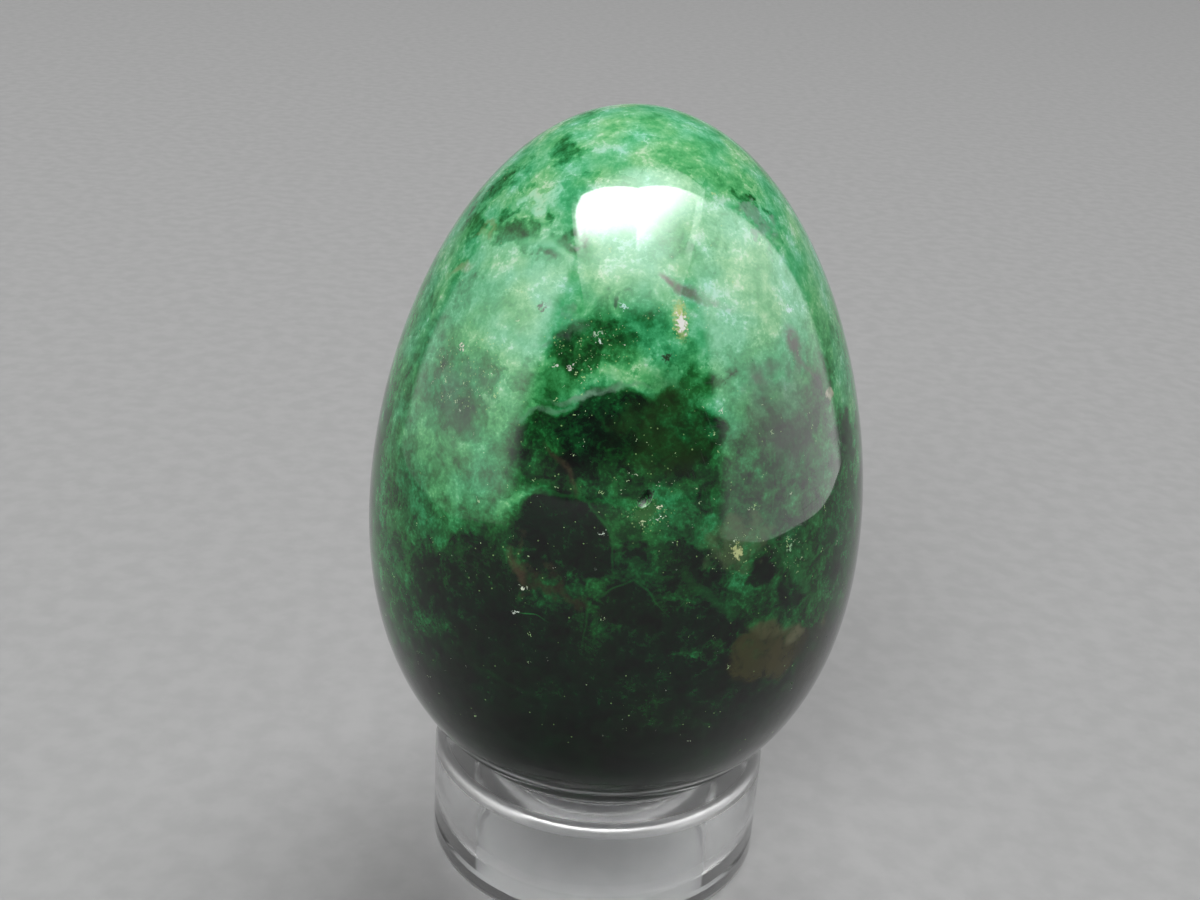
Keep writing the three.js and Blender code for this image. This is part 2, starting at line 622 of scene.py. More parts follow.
@dataclass(frozen=True)
class PolishedStone:
    """Green crystalline stone, ground and polished.

    Attributes:
        tones: The colour of each tone, from black green to pale mint.
        bands: The tone at each height above the floor, in millimetres: lighter towards the top and darker
            towards the bottom, partly the stone's own tone and partly painted light and shade.
        clouds: Places where one tone passes softly into another; the pale ones across the upper front are
            partly painted reflection.
        cells: Crystals with a crisp edge.
        veins: Thin seams.
        hazes: Soft stains of another colour.
        inclusions: Other minerals.
        facets_painted_glints_and_shade: Single crystals placed one by one: pale ones painted bright as
            glints, a painted highlight with its halo, the pit's inside painted dark as shade, and dark dots
            and green crystals.
        glitter: Places with many small painted glints.
        pit: The unpolished hollow.
        glint_white: The colour of a bright painted glint.
        glint_green: The colour of a faint painted glint.
        warm_tints: What the colour is multiplied by, from cool to warm clouds.
        cloud_drifts: How clouds and bands are moved about.
        crystal_drifts: How the edges of crystals are frayed.
        vein_drifts: How veins are bent.
        glint_drifts: How glints are made jagged.
        crystal_scale: How many large crystals there are in a millimetre.
        grain_scale: How many small grains.
        cloud_scale: How many of the widest clouds.
        patch_scale: How many patches.
        fine_scale: How many spots of the finest mottling.
        glint_scale: How many places for a bright glint.
        dot_scale: How many places for a faint one.
        glint_size: How large a glint is, as a share of the room that it has.
        crystal_contrast: How much the large crystals differ in tone.
        patch_stir: How much millimetre patches change the tone.
        grain_stir: How much the small grains change it.
        fine_stir: How much the finest mottling changes it.
        cloud_stir: How much the widest clouds change it.
        speckle: How much lighter the scattered specks are.
        seam_glow: How much lighter the seams between crystals are.
        relief: The height of the polish's unevenness.
        roughness: Of the polish.
        pit_roughness: Of the hollow and of chips.
        index: The index of refraction.
    """

    tones: tuple[tuple[float, Colour], ...] = (
        (0.00, (0.0015, 0.003, 0.002)),
        (0.15, (0.002, 0.015, 0.005)),
        (0.3, (0.005, 0.064, 0.013)),
        (0.45, (0.014, 0.168, 0.038)),
        (0.6, (0.038, 0.33, 0.105)),
        (0.75, (0.098, 0.52, 0.198)),
        (0.9, (0.26, 0.7, 0.365)),
        (1.00, (0.52, 0.86, 0.64)),
    )
    # Partly painted light and shade: the tone rises towards the top and falls towards the bottom, where
    # shade falls.
    bands: tuple[tuple[float, float], ...] = (
        (6, 0.05), (14, 0.07), (20, 0.1), (26, 0.14), (30, 0.23), (33, 0.38), (36, 0.5), (40, 0.58),
        (44, 0.69), (48, 0.8), (51, 0.83), (54, 0.8), (57, 0.81),
    )
    clouds: tuple[Spot, ...] = (
        # Partly painted reflection: this pale cloud, the next one and the one at 33 degrees lay a pale arch
        # of reflected light into the upper front's colour, over the stone's own paler tone.
        Spot(-32, 46.6, 4.8, 2.6, 0, 0.85, 0.75, 0.4),
        Spot(3, 49.0, 6.5, 1.3, 0, 0.86, 0.75, 0.45),
        Spot(60, 48.3, 4.5, 3.2, 0, 0.8, 0.75, 0.45),
        Spot(-62, 46.5, 3.6, 2.2, 0, 0.76, 0.7, 0.45),
        # Partly painted reflection, like the pale clouds at -32 and 3 degrees.
        Spot(33, 47.2, 5.0, 2.8, 0, 0.86, 0.8, 0.4),
        Spot(-8, 20, 11.0, 8.0, 0, 0.06, 0.85, 0.35),
        Spot(-60, 25.0, 6.0, 5.0, 0, 0.31, 0.8, 0.45),
        Spot(20, 21.5, 5.0, 2.2, -20, 0.12, 0.7, 0.5),
        Spot(45, 36.0, 8.0, 5.5, -8, 0.33, 0.9, 0.25),
        Spot(59, 30.5, 5.0, 6.0, 0, 0.35, 0.8, 0.4),
        Spot(38, 30.0, 5.0, 3.0, -20, 0.34, 0.7, 0.4),
        Spot(-43, 40.5, 2.6, 2.6, 0, 0.46, 0.8, 0.5),
        Spot(-46, 36.6, 5.5, 1.9, -8, 0.63, 0.7, 0.45),
        Spot(-60, 30.0, 5.0, 6.0, 0, 0.46, 0.7, 0.45),
        Spot(-35, 51.2, 2.8, 1.0, 5, 0.5, 0.98, 0.35),
        Spot(-51, 54.9, 1.3, 0.9, 0, 0.54, 0.8, 0.45),
        Spot(-70, 52.2, 2.0, 0.9, 0, 0.55, 0.8, 0.45),
        Spot(-65, 49.6, 2.2, 0.8, -30, 0.52, 0.8, 0.45),
        Spot(-55, 46.8, 1.8, 1.0, 0, 0.6, 0.7, 0.45),
        Spot(46, 53.1, 0.7, 1.2, 20, 0.48, 0.85, 0.35),
        Spot(12, 50.8, 2.4, 0.8, 0, 0.68, 0.6, 0.5),
        Spot(-25, 55.2, 0.7, 2.4, 10, 0.86, 0.6, 0.5),
        Spot(-43, 52.8, 1.5, 0.5, 0, 0.98, 0.8, 0.5),
        Spot(33, 45.3, 2.0, 1.0, 0, 0.6, 0.6, 0.5),
        Spot(0, 38.5, 7.5, 2.6, 0, 0.26, 0.9, 0.3),
        Spot(8, 35.2, 4.6, 2.8, 0, 0.36, 0.9, 0.3),
        Spot(-14, 31.5, 3.6, 1.8, -30, 0.17, 0.8, 0.35),
        Spot(13.5, 31.4, 3.4, 1.3, -18, 0.16, 0.85, 0.35),
        Spot(170, 40.8, 7.5, 3.6, 10, 0.23, 0.95, 0.3),
        Spot(150, 35.5, 6.0, 3.4, 20, 0.2, 0.9, 0.35),
        Spot(206, 35.0, 6.5, 3.4, -15, 0.18, 0.9, 0.35),
        Spot(103, 38.3, 5.0, 3.4, -14, 0.25, 0.9, 0.35),
        Spot(257, 37.0, 5.5, 3.6, 14, 0.24, 0.9, 0.35),
        Spot(235, 43.0, 4.0, 3.0, 0, 0.44, 0.8, 0.4),
        Spot(118, 46.0, 4.0, 2.6, 0, 0.84, 0.75, 0.4),
    )
    cells: tuple[Spot, ...] = (
        Spot(-15.5, 42.9, 2.5, 1.6, 20, 0.58, 0.9, 0.25),
        Spot(2.0, 46.6, 3.0, 1.5, -25, 0.58, 0.9, 0.35),
        Spot(-4.2, 45.7, 2.2, 1.2, -20, 0.42, 0.9, 0.25),
        Spot(-10.6, 45.1, 2.2, 1.5, 10, 0.34, 0.95, 0.2),
        Spot(-17.5, 39.2, 1.9, 2.1, 0, 0.27, 0.95, 0.12),
        Spot(-11.5, 39.6, 2.4, 2.1, 10, 0.2, 0.95, 0.15),
        Spot(-2.5, 40.6, 2.9, 2.8, 0, 0.15, 0.95, 0.12),
        Spot(12.0, 40.5, 3.0, 2.8, 0, 0.24, 0.95, 0.12),
        Spot(17.5, 43.3, 1.4, 1.2, 0, 0.36, 0.9, 0.25),
        Spot(18.8, 36.7, 0.55, 1.0, 0, 0.16, 0.8, 0.3),
        Spot(12.0, 33.2, 1.8, 0.9, -10, 0.18, 0.8, 0.4),
        Spot(-11.6, 34.3, 3.1, 2.2, -8, 0.09, 0.95, 0.16, 0.3),
        Spot(-4.5, 33.0, 1.4, 1.5, 0, 0.09, 0.9, 0.15),
        Spot(3.5, 29.9, 1.9, 1.8, 0, 0.08, 0.9, 0.25, 0.25),
        Spot(12.0, 28.3, 3.2, 1.6, -20, 0.1, 0.9, 0.2),
        Spot(-38.0, 28.2, 3.0, 2.6, 30, 0.14, 0.9, 0.35),
        Spot(-28.5, 29.8, 3.0, 3.4, -20, 0.13, 0.95, 0.16, 0.3),
        Spot(-20.0, 27.4, 3.6, 2.2, 0, 0.08, 0.9, 0.2),
        Spot(31.3, 31.3, 0.75, 1.15, 15, 0.1, 0.95, 0.2),
        Spot(40.0, 29.4, 1.3, 1.5, 0, 0.2, 0.8, 0.25),
        Spot(160, 41.5, 2.8, 2.1, 12, 0.2, 0.95, 0.14),
        Spot(176, 39.0, 3.2, 2.4, -14, 0.13, 0.95, 0.14),
        Spot(198, 43.4, 3.0, 1.5, 24, 0.46, 0.9, 0.35),
        Spot(204, 34.0, 3.0, 2.2, -10, 0.09, 0.95, 0.16, 0.3),
        Spot(146, 34.5, 2.6, 2.2, 15, 0.1, 0.95, 0.16),
        Spot(102, 39.6, 2.8, 2.0, -12, 0.16, 0.95, 0.16),
        Spot(258, 38.5, 2.8, 2.2, 14, 0.18, 0.95, 0.15),
        Spot(250, 31.5, 2.4, 1.9, 0, 0.1, 0.9, 0.2),
    )
    veins: tuple[Spot, ...] = (
        Spot(-13.5, 36.5, 2.5, 0.12, 2, 0.42, 0.6, 0.9),
        Spot(-3.5, 35.2, 1.2, 0.08, -60, 0.42, 0.6, 0.9),
        Spot(-1.0, 33.2, 1.0, 0.08, -81, 0.4, 0.6, 0.9),
        Spot(0.2, 31.0, 1.35, 0.07, 31, 0.42, 0.6, 0.9),
        Spot(7.2, 30.7, 1.4, 0.07, -45, 0.42, 0.6, 0.9),
        Spot(-5.0, 28.7, 1.5, 0.05, -95, 0.36, 0.5, 0.9),
        Spot(20.5, 30.3, 3.1, 0.35, -40, 0.37, 0.6, 0.8),
        Spot(30.5, 34.4, 1.0, 0.1, -24, 0.52, 0.5, 0.9),
        Spot(35.2, 33.0, 1.1, 0.1, -62, 0.5, 0.5, 0.9),
        Spot(34.5, 35.6, 1.5, 0.06, 85, 0.46, 0.5, 0.9),
        Spot(43.5, 29.9, 3.1, 0.3, -50, 0.4, 0.6, 0.9),
        Spot(-57.0, 30.0, 3.1, 0.24, 46, 0.47, 0.6, 0.9),
        Spot(-52.5, 28.1, 2.5, 0.18, 47, 0.43, 0.6, 0.9),
        Spot(-25.0, 23.1, 4.1, 0.2, -16, 0.24, 0.6, 0.9),
        Spot(-16.8, 28.4, 0.9, 0.05, -5, 0.72, 0.5, 0.9),
        Spot(-25.0, 50.1, 1.3, 0.25, -17, 0.96, 0.7, 0.9),
        Spot(-33.0, 50.3, 1.6, 0.3, 8, 0.93, 0.6, 0.9),
        Spot(186, 31.5, 2.2, 0.1, -38, 0.44, 0.6, 0.9),
        Spot(112, 33.5, 2.6, 0.12, 35, 0.44, 0.6, 0.9),
        Spot(244, 46.5, 1.8, 0.25, 18, 0.95, 0.6, 0.9),
    )
    hazes: tuple[Inclusion, ...] = (
        Inclusion(9.5, 41.0, 2.2, 2.1, 0, 0.5, 0.7, (0.022, 0.062, 0.012)),
        Inclusion(38.0, 40.8, 3.2, 2.4, 0, 0.55, 0.6, (0.075, 0.09, 0.075)),
        Inclusion(-41.0, 40.8, 2.0, 2.4, 0, 0.45, 0.6, (0.07, 0.12, 0.085)),
        Inclusion(24.5, 33.6, 2.0, 1.2, 0, 0.6, 0.5, (0.09, 0.15, 0.06)),
        Inclusion(-19.8, 46.0, 1.0, 0.8, 30, 0.35, 0.6, (0.13, 0.19, 0.15)),
        Inclusion(-43.0, 52.7, 1.5, 0.5, 0, 0.6, 0.6, (0.38, 0.86, 0.56)),
        Inclusion(45.0, 52.2, 1.3, 0.5, -40, 0.6, 0.5, (0.24, 0.36, 0.29)),
        Inclusion(-55.0, 50.2, 1.4, 0.5, 25, 0.5, 0.5, (0.26, 0.36, 0.14)),
        Inclusion(-17.5, 32.3, 1.5, 0.3, -43, 0.35, 0.6, (0.05, 0.045, 0.02)),
        Inclusion(-9.5, 30.4, 1.9, 0.55, -40, 0.6, 0.6, (0.032, 0.024, 0.01)),
        Inclusion(53.0, 22.5, 2.6, 1.8, -25, 0.6, 0.5, (0.03, 0.034, 0.014)),
    )
    inclusions: tuple[Inclusion, ...] = (
        Inclusion(-18.6, 41.2, 1.9, 0.13, 27, 0.7, 0.8, (0.11, 0.3, 0.16)),
        Inclusion(-8.3, 42.7, 2.1, 0.15, 18, 0.85, 0.8, (0.2, 0.4, 0.26)),
        Inclusion(0.5, 43.4, 1.2, 0.12, 8, 0.6, 0.8, (0.15, 0.36, 0.2)),
        Inclusion(33.0, 25.3, 2.5, 2.1, 20, 0.95, 0.16, (0.05, 0.048, 0.013)),
        Inclusion(41.5, 24.8, 1.8, 1.9, -30, 0.95, 0.2, (0.062, 0.056, 0.016)),
        Inclusion(36.5, 27.1, 1.7, 0.45, -12, 0.7, 0.6, (0.11, 0.11, 0.048)),
        Inclusion(43.6, 25.8, 0.75, 0.6, 20, 0.7, 0.5, (0.19, 0.2, 0.105)),
        Inclusion(48.5, 23.3, 1.0, 2.2, 35, 0.7, 0.5, (0.01, 0.014, 0.006)),
        Inclusion(55.0, 25.6, 0.45, 0.5, 0, 0.6, 0.5, (0.11, 0.12, 0.04)),
        Inclusion(-19.8, 31.6, 0.35, 1.25, 12, 0.5, 0.5, (0.085, 0.045, 0.028)),
        Inclusion(-12.2, 37.9, 1.4, 0.2, -56, 0.55, 0.8, (0.075, 0.055, 0.03)),
        Inclusion(11.5, 49.0, 0.85, 0.28, -38, 0.9, 0.6, (0.2, 0.16, 0.145)),
        Inclusion(17.0, 48.4, 0.95, 0.34, -27, 0.8, 0.6, (0.17, 0.135, 0.12)),
        Inclusion(24.0, 47.9, 1.1, 0.3, -24, 0.4, 0.7, (0.18, 0.19, 0.15)),
        Inclusion(47.3, 44.8, 0.7, 1.15, 25, 0.9, 0.5, (0.12, 0.09, 0.09)),
        Inclusion(51.5, 43.2, 1.4, 0.22, -61, 0.6, 0.7, (0.11, 0.095, 0.09)),
        Inclusion(34.5, 43.5, 0.65, 0.38, -15, 0.6, 0.5, (0.1, 0.095, 0.085)),
        Inclusion(58.0, 41.2, 0.7, 0.4, -15, 0.9, 0.3, (0.62, 0.56, 0.42)),
        Inclusion(-59.5, 47.5, 1.1, 0.25, 32, 0.6, 0.7, (0.33, 0.37, 0.18)),
        Inclusion(-3.4, 47.9, 0.2, 0.34, 0, 0.8, 0.5, (0.004, 0.06, 0.02)),
        Inclusion(168, 44.2, 2.4, 0.15, 14, 0.8, 0.8, (0.19, 0.39, 0.25)),
        Inclusion(152, 43.4, 1.6, 0.13, 30, 0.7, 0.8, (0.14, 0.34, 0.19)),
        Inclusion(222, 28.0, 2.2, 1.8, 15, 0.9, 0.2, (0.052, 0.05, 0.014)),
        Inclusion(190, 48.4, 0.95, 0.32, -24, 0.8, 0.6, (0.175, 0.14, 0.125)),
        Inclusion(108, 44.8, 0.6, 1.0, 20, 0.8, 0.5, (0.115, 0.092, 0.09)),
    )
    facets_painted_glints_and_shade: tuple[Inclusion, ...] = (
        # Painted glints: the pale and white entries are crystals painted as bright as glints; this first one
        # is the yellow halo of a painted highlight.
        Inclusion(13.2, 47.0, 0.34, 1.0, 4, 0.75, 0.6, (0.8, 0.78, 0.28)),
        Inclusion(-8.3, 46.0, 0.34, 0.05, 38, 0.8, 0.5, (0.6, 0.8, 0.6)),
        Inclusion(-7.5, 45.6, 0.2, 0.1, -40, 0.9, 0.4, (0.8, 0.98, 0.85)),
        Inclusion(-17.8, 43.9, 0.13, 0.11, 0, 0.9, 0.4, (0.85, 0.95, 0.8)),
        Inclusion(-13.8, 44.0, 0.12, 0.13, 0, 0.9, 0.4, (0.9, 0.9, 0.8)),
        Inclusion(-2.9, 34.5, 0.16, 0.12, 10, 0.9, 0.4, (0.75, 0.9, 0.75)),
        Inclusion(22.6, 41.75, 0.11, 0.15, 0, 0.9, 0.4, (0.8, 0.9, 0.75)),
        Inclusion(5.6, 36.0, 0.85, 0.45, 50, 0.7, 0.5, (0.045, 0.17, 0.04)),
        Inclusion(8.5, 36.2, 0.13, 0.12, 20, 0.9, 0.4, (0.95, 0.98, 0.7)),
        Inclusion(8.2, 35.6, 0.15, 0.09, 20, 0.9, 0.4, (0.85, 0.95, 0.8)),
        Inclusion(4.9, 35.3, 0.12, 0.1, 20, 0.8, 0.4, (0.7, 0.85, 0.5)),
        # Painted shade: the pit's inside is painted near black.
        Inclusion(PIT_ROUND, PIT_LEVEL, 0.64, 0.32, 60, 0.97, 0.3, (0.002, 0.005, 0.003)),
        # Painted highlight: the white glint inside the yellow halo at 13.2 degrees.
        Inclusion(13.4, 46.8, 0.27, 0.62, 4, 1.0, 0.3, (1.0, 1.0, 0.95)),
        Inclusion(9.4, 44.9, 0.25, 0.2, 20, 0.9, 0.5, (0.022, 0.01, 0.01)),
        Inclusion(-24.7, 47.0, 0.2, 0.25, 0, 0.85, 0.5, (0.03, 0.022, 0.012)),
        Inclusion(26.0, 33.0, 0.3, 0.36, 20, 0.9, 0.4, (0.7, 0.78, 0.36)),
        Inclusion(25.2, 33.4, 0.12, 0.32, -35, 0.9, 0.4, (0.62, 0.7, 0.3)),
        Inclusion(-2.4, 47.6, 0.22, 0.12, 0, 0.9, 0.4, (0.6, 0.95, 0.85)),
        Inclusion(48.7, 46.8, 0.26, 0.2, 0, 0.9, 0.4, (0.7, 0.98, 0.92)),
        Inclusion(-45.5, 43.5, 0.22, 0.13, 20, 0.9, 0.4, (0.98, 0.92, 0.8)),
        Inclusion(-18.4, 30.2, 0.14, 0.13, 0, 1.0, 0.4, (0.9, 1.0, 0.8)),
        Inclusion(-19.6, 28.4, 0.24, 0.09, 10, 0.9, 0.4, (0.8, 0.9, 0.8)),
        Inclusion(39.5, 32.5, 0.2, 0.14, 30, 0.8, 0.4, (0.45, 0.8, 0.45)),
        Inclusion(183, 36.8, 0.28, 0.34, 20, 0.9, 0.4, (0.7, 0.78, 0.36)),
        Inclusion(150, 46.4, 0.22, 0.12, 0, 0.9, 0.4, (0.6, 0.95, 0.85)),
        Inclusion(266, 42.5, 0.22, 0.14, 15, 0.9, 0.4, (0.9, 0.9, 0.75)),
    )
    glitter: tuple[Spot, ...] = (
        Spot(-42, 42.3, 3.0, 2.6, strength=0.38),
        Spot(-10, 45.0, 2.8, 2.2, strength=0.35),
        Spot(6.5, 35.8, 1.3, 1.1, strength=0.8),
        Spot(27, 33.0, 2.6, 1.4, strength=0.25),
        Spot(40, 32.2, 1.4, 1.4, strength=0.35),
        Spot(-28, 31.5, 5.0, 2.0, strength=0.06),
        Spot(12, 46.6, 2.4, 2.0, strength=0.12),
        Spot(-3, 38.5, 9.0, 5.5, strength=0.06, softness=0.5),
        Spot(172, 43.0, 2.8, 2.2, strength=0.3),
        Spot(250, 41.0, 2.6, 2.2, strength=0.25),
        Spot(110, 36.0, 2.0, 1.8, strength=0.3),
    )
    pit: Spot = Spot(PIT_ROUND, PIT_LEVEL, 0.66, 0.34, 60, softness=0.3)
    glint_white: Colour = (0.92, 0.98, 0.86)
    glint_green: Colour = (0.42, 0.72, 0.26)
    warm_tints: tuple[tuple[float, Colour], ...] = ((0.4, (0.8, 0.98, 1.04)), (0.6, (1.12, 1.0, 0.88)))
    cloud_drifts: tuple[Drift, ...] = (Drift(0.20, 7.0), Drift(0.90, 4.5, 3.0))
    crystal_drifts: tuple[Drift, ...] = (Drift(0.45, 2.0, 1.0), Drift(2.6, 0.40))
    vein_drifts: tuple[Drift, ...] = (Drift(0.50, 0.8, 1.0),)
    glint_drifts: tuple[Drift, ...] = (Drift(5.0, 0.9, 1.0),)
    crystal_scale: float = 0.17
    grain_scale: float = 0.55
    cloud_scale: float = 0.45
    patch_scale: float = 1.3
    fine_scale: float = 4.5
    glint_scale: float = 2.6
    dot_scale: float = 5.0
    glint_size: float = 0.26
    crystal_contrast: float = 0.16
    patch_stir: float = 0.62
    grain_stir: float = 0.05
    fine_stir: float = 0.22
    cloud_stir: float = 0.80
    speckle: float = 0.06
    seam_glow: float = 0.16
    relief: float = 0.03 * MM
    roughness: float = 0.035
    pit_roughness: float = 0.65
    index: float = 1.45

    def material(self, effects: Effects, outline: EggOutline) -> bpy.types.Material:
        """Builds the stone.

        Args:
            effects: The shared node groups.
            outline: The egg's outline, on which its spots are placed.

        Returns:
            The material.
        """
        pattern = StonePattern(self, effects, outline)
        tone, edges = self._crystalline(pattern, self._banded(pattern))
        tone, patches = self._stirred(pattern, tone, edges)
        colour = self._stained(pattern, self._coloured(pattern, tone), patches)
        self._polish(pattern, self._glinting(pattern, colour))
        return pattern.material

    def _banded(self, pattern: StonePattern) -> Socket:
        """The tone at each height, lighter towards the top and darker towards the bottom as partly painted
        light and shade, a little lighter or darker in each large crystal.

        Args:
            pattern: The stone's pattern.

        Returns:
            The tone.
        """
        sheet, middle = pattern.sheet, pattern.centre.z / MM
        low, high = self.bands[0][0], self.bands[-1][0]
        level = sheet.split(pattern.cloudy)[2]
        share = sheet.add("ShaderNodeMapRange")
        sheet.feed(share.inputs["Value"], level)
        share.inputs["From Min"].default_value = low - middle
        share.inputs["From Max"].default_value = high - middle
        stops = [((height - low) / (high - low), (tone,) * 3) for height, tone in self.bands]
        # Partly painted light and shade: the bands' ramp lightens the top of the stone and darkens its
        # bottom.
        tone = sheet.channels(sheet.ramp(share.outputs[0], stops))[0]
        block = sheet.math("SUBTRACT", sheet.channels(pattern.crystals.outputs["Color"])[0], 0.5)
        return sheet.math("ADD", tone, sheet.math("MULTIPLY", block, self.crystal_contrast))

    def _crystalline(self, pattern: StonePattern, tone: Socket) -> tuple[Socket, Socket]:
        """Lays the clouds and the crisp crystals over the bands.

        Args:
            pattern: The stone's pattern.
            tone: The bands' tone.

        Returns:
            The tone, and how much of a crystal's edge shows.
        """
        sheet = pattern.sheet
        edges: Socket = sheet.ease(pattern.seams.outputs["Distance"], 0.0, 0.03, 0.5, 0.0)
        for cloud in self.clouds:
            tone = sheet.mix(pattern.mask_of(cloud, pattern.cloudy), tone, cloud.tone, colour=False)
        for cell in self.cells:
            node = pattern.placed(cell, pattern.frayed)
            share = sheet.math("MULTIPLY", node.outputs["Mask"], cell.strength)
            tone = sheet.mix(share, tone, cell.tone, colour=False)
            edges = sheet.math("MULTIPLY", edges, sheet.math("SUBTRACT", 1.0, share))
            if cell.rim:
                edges = sheet.math("MAXIMUM", edges, sheet.math("MULTIPLY", node.outputs["Edge"], cell.rim))
        return tone, edges

    def _stirred(self, pattern: StonePattern, tone: Socket, edges: Socket) -> tuple[Socket, Socket]:
        """Breaks the tone up into patches, grains and specks, and draws the seams and veins on it.

        Args:
            pattern: The stone's pattern.
            tone: The tone to break up.
            edges: How much of a crystal's edge shows.

        Returns:
            The tone, and the patches that stir it.
        """
        sheet, plain = pattern.sheet, pattern.plain
        clouds = pattern.uneven(plain, self.cloud_scale, 3.0)
        fine = pattern.uneven(plain, self.fine_scale)
        liveliness = sheet.math("MULTIPLY", sheet.ease(tone, 0.04, 0.20, 0.40, 1.0),
                                sheet.ease(tone, 0.66, 0.84, 1.0, 0.72))
        grain = sheet.math("SUBTRACT", sheet.channels(pattern.grains.outputs["Color"])[0], 0.5)
        stir = sheet.math("MULTIPLY", clouds, self.cloud_stir)
        patches = pattern.uneven(pattern.frayed, self.patch_scale, 3.0)
        for part, amount in ((patches, self.patch_stir), (grain, self.grain_stir), (fine, self.fine_stir)):
            stir = sheet.math("ADD", stir, sheet.math("MULTIPLY", part, amount))
        tone = sheet.math("ADD", tone, sheet.math("MULTIPLY", stir, liveliness))
        specks = sheet.math("MULTIPLY", sheet.ease(fine, 0.02, 0.16),
                            sheet.ease(clouds, -0.10, 0.12, 0.3, 1.0))
        tone = sheet.math("ADD", tone, sheet.math("MULTIPLY", specks, self.speckle))
        broken_edges = sheet.math("MULTIPLY", edges, sheet.ease(pattern.uneven(plain, 0.8), -0.06, 0.10))
        tone = sheet.math("ADD", tone, sheet.math("MULTIPLY", broken_edges, self.seam_glow), clamp=True)
        for vein in self.veins:
            tone = sheet.mix(pattern.mask_of(vein, pattern.gentle), tone, vein.tone, colour=False)
        return tone, patches

    def _coloured(self, pattern: StonePattern, tone: Socket) -> Socket:
        """Gives each tone its colour, cooler in some clouds and warmer in others.

        Args:
            pattern: The stone's pattern.
            tone: The tone.

        Returns:
            The colour.
        """
        sheet = pattern.sheet
        colour = sheet.ramp(tone, self.tones)
        warmth = sheet.ramp(sheet.noise(pattern.plain, 0.28, 2.0), self.warm_tints)
        return sheet.mix(1.0, colour, warmth, way="MULTIPLY")

    def _stained(self, pattern: StonePattern, colour: Socket, patches: Socket) -> Socket:
        """Lays the stains and the other minerals over the green.

        Args:
            pattern: The stone's pattern.
            colour: The green's colour.
            patches: What breaks the minerals up.

        Returns:
            The colour.
        """
        sheet = pattern.sheet
        for haze in self.hazes:
            colour = sheet.mix(pattern.mask_of(haze.spot, pattern.cloudy), colour, haze.colour)
        mottled = sheet.ease(patches, -0.26, 0.08, 0.25, 1.0)
        for inclusion in self.inclusions:
            mask = pattern.mask_of(inclusion.spot, pattern.frayed)
            colour = sheet.mix(sheet.math("MULTIPLY", mask, mottled), colour, inclusion.colour)
        return colour

    def _glinting(self, pattern: StonePattern, colour: Socket) -> Socket:
        """Scatters painted glints over the stone, and places the single crystals, painted glints, the
        painted highlight and the pit's painted shade.

        Args:
            pattern: The stone's pattern.
            colour: The stone's colour.

        Returns:
            The colour.
        """
        sheet, size = pattern.sheet, self.glint_size
        density: Socket = sheet.ease(sheet.noise(pattern.plain, 0.15, 1.0), 0.4, 0.65, 0.003, 0.02)
        for spot in self.glitter:
            density = sheet.math("ADD", density, pattern.mask_of(spot, pattern.plain))
        jagged = pattern.drifted(self.glint_drifts)
        specks = pattern.effects.specks
        # Painted glints: pale flecks mixed into the colour nearly white (glints) and pale green (dots),
        # partly the flecks' own colour and partly painted highlight.
        glints = sheet.group(specks, Place=jagged, Scale=self.glint_scale, Amount=density, Size=size)
        dots = sheet.group(specks, Place=pattern.plain, Scale=self.dot_scale, Amount=density, Size=size)
        glint_colour = sheet.mix(glints.outputs["Chance"], self.glint_white, self.glint_green)
        colour = sheet.mix(sheet.math("MULTIPLY", dots.outputs["Mask"], 0.5), colour, self.glint_green)
        colour = sheet.mix(sheet.math("MULTIPLY", glints.outputs["Mask"], 0.9), colour, glint_colour)
        # Painted glints, a painted highlight and the pit's painted shade, each placed one by one.
        for facet in self.facets_painted_glints_and_shade:
            colour = sheet.mix(pattern.mask_of(facet.spot, jagged), colour, facet.colour)
        return colour

    def _polish(self, pattern: StonePattern, colour: Socket) -> None:
        """Ends the material in the polished surface, with its scratches, chips and pit.

        Args:
            pattern: The stone's pattern.
            colour: The stone's colour.
        """
        sheet, plain, effects = pattern.sheet, pattern.plain, pattern.effects
        scratches = sheet.group(effects.scuffs, Place=plain, Length=9.0, Width=0.006)
        chips = sheet.group(effects.specks, Place=plain, Scale=0.8, Amount=0.08, Size=0.09)
        depth = sheet.math("ADD", sheet.math("MULTIPLY", scratches.outputs["Mask"], -0.06),
                           sheet.math("MULTIPLY", chips.outputs["Mask"], -1.0))
        swell = sheet.math("MULTIPLY", sheet.noise(plain, 0.25, 1.0), 1.2)
        bump = sheet.add("ShaderNodeBump")
        bump.inputs["Distance"].default_value = self.relief
        sheet.feed(bump.inputs["Height"], sheet.math("ADD", depth, swell))
        shine = sheet.add("ShaderNodeBsdfPrincipled")
        sheet.feed(shine.inputs["Base Color"], colour)
        pitted = sheet.math("MAXIMUM", chips.outputs["Mask"], pattern.mask_of(self.pit, plain))
        rough = sheet.mix(pitted, self.roughness, self.pit_roughness, colour=False)
        sheet.feed(shine.inputs["Roughness"], rough)
        shine.inputs["IOR"].default_value = self.index
        sheet.feed(shine.inputs["Normal"], bump.outputs[0])
        sheet.end("ShaderNodeOutputMaterial", shine)


